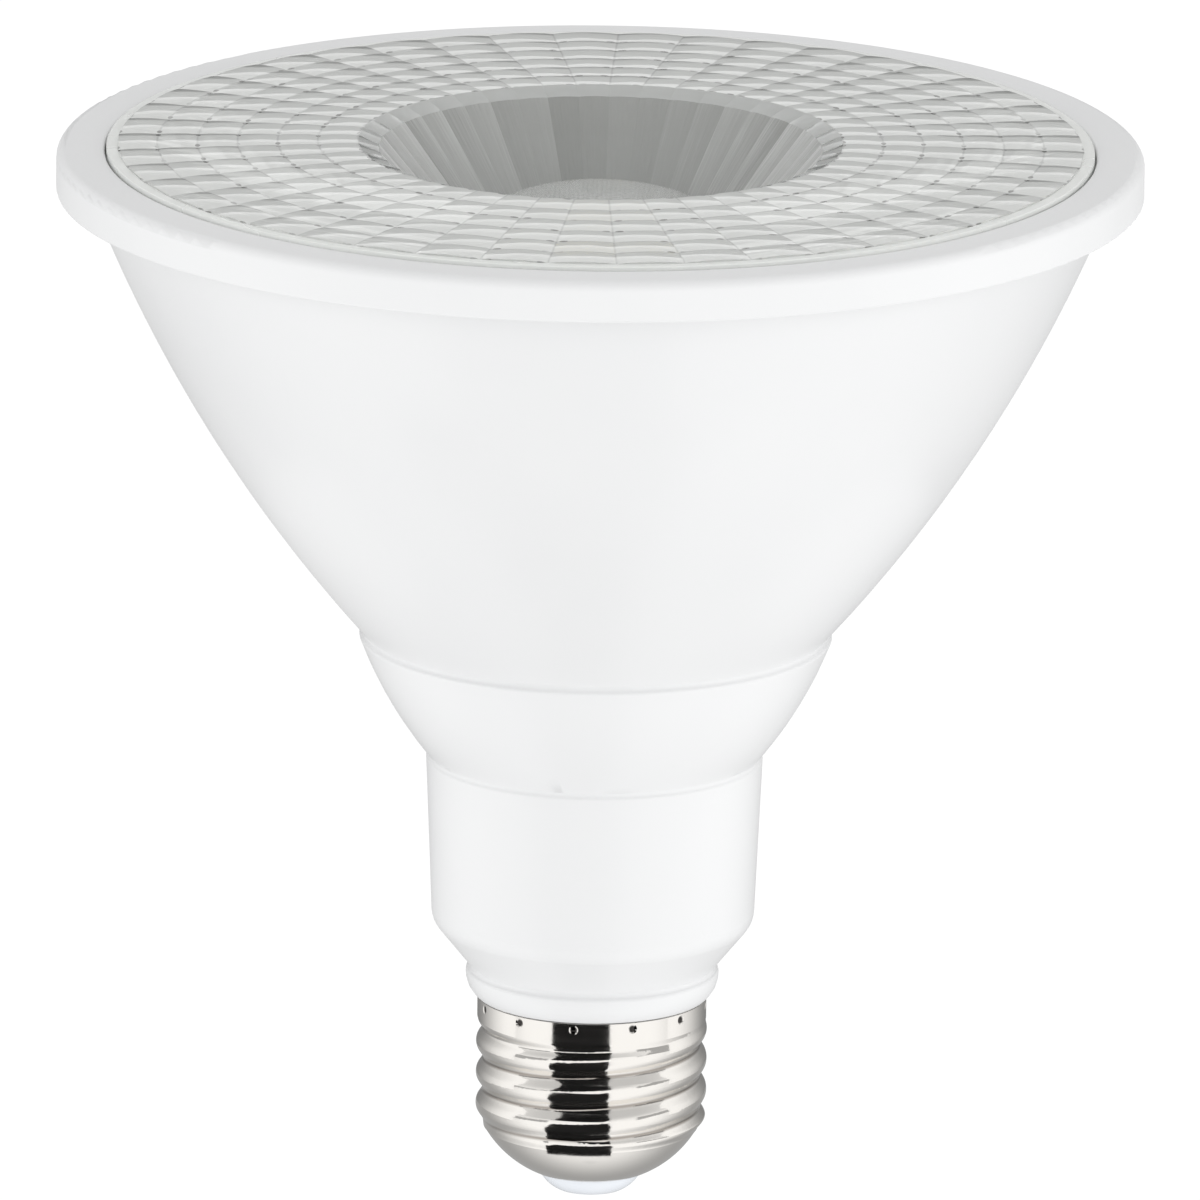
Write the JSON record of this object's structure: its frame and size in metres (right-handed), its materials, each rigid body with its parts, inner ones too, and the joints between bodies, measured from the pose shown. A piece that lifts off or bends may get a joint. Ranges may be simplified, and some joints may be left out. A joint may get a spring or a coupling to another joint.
{
  "type": "par spotlight bulb",
  "caption": "Reflector-shaped LED spotlight bulb: stepped white funnel body, trim ring, clear faceted lens with a central well, and a nickel medium screw base.",
  "frame": {"origin": "middle of the flat tip of the centre contact, at the foot of the screw base", "axes": "+Z along the lamp's axis from the contact to the lens, so the light leaves along +Z"},
  "size_m": [0.122, 0.122, 0.1222],
  "materials": {
    "white_body": "fine satin moulded plastic",
    "white_trim": "fine satin moulded plastic",
    "clear_lens": "polished clear acrylic",
    "sink_aluminium": "pressed sheet",
    "screw_steel": "zinc plated",
    "carrier_aluminium": "white-coated sheet",
    "emitter_yellow": "silicone with phosphor",
    "holder_white": "moulded plastic",
    "board_green": "lacquered laminate",
    "ferrite_grey": "sintered ferrite",
    "tape_yellow": "taped winding",
    "sleeve_black": "shrink sleeve",
    "film_box": "moulded box",
    "chip_black": "moulded resin",
    "resistor_body": "lacquered ceramic",
    "lead_red": "insulated lead",
    "lead_black": "insulated lead",
    "lead_white": "insulated lead",
    "shell_nickel": "polished nickel plate",
    "insulator_white": "moulded plastic",
    "contact_nickel": "nickel plate"
  },
  "bodies": {
    "root": {"housing": "white_body", "trim_ring": "white_trim", "lens": "clear_lens", "heat_sink": "sink_aluminium", "plate_screws": "screw_steel", "holder_screws": "screw_steel", "led_carrier": "carrier_aluminium", "led_emitter": "emitter_yellow", "led_holder": "holder_white", "driver_board": "board_green", "transformer_core": "ferrite_grey", "transformer_winding": "tape_yellow", "input_capacitor": "sleeve_black", "output_capacitor": "sleeve_black", "film_capacitor": "film_box", "input_choke": "ferrite_grey", "bridge_rectifier": "chip_black", "driver_chip": "chip_black", "fuse_resistor": "resistor_body", "led_lead_positive": "lead_red", "led_lead_negative": "lead_black", "line_lead": "lead_black", "neutral_lead": "lead_white", "screw_shell": "shell_nickel", "base_insulator": "insulator_white", "centre_contact": "contact_nickel"}
  },
  "joints": []
}
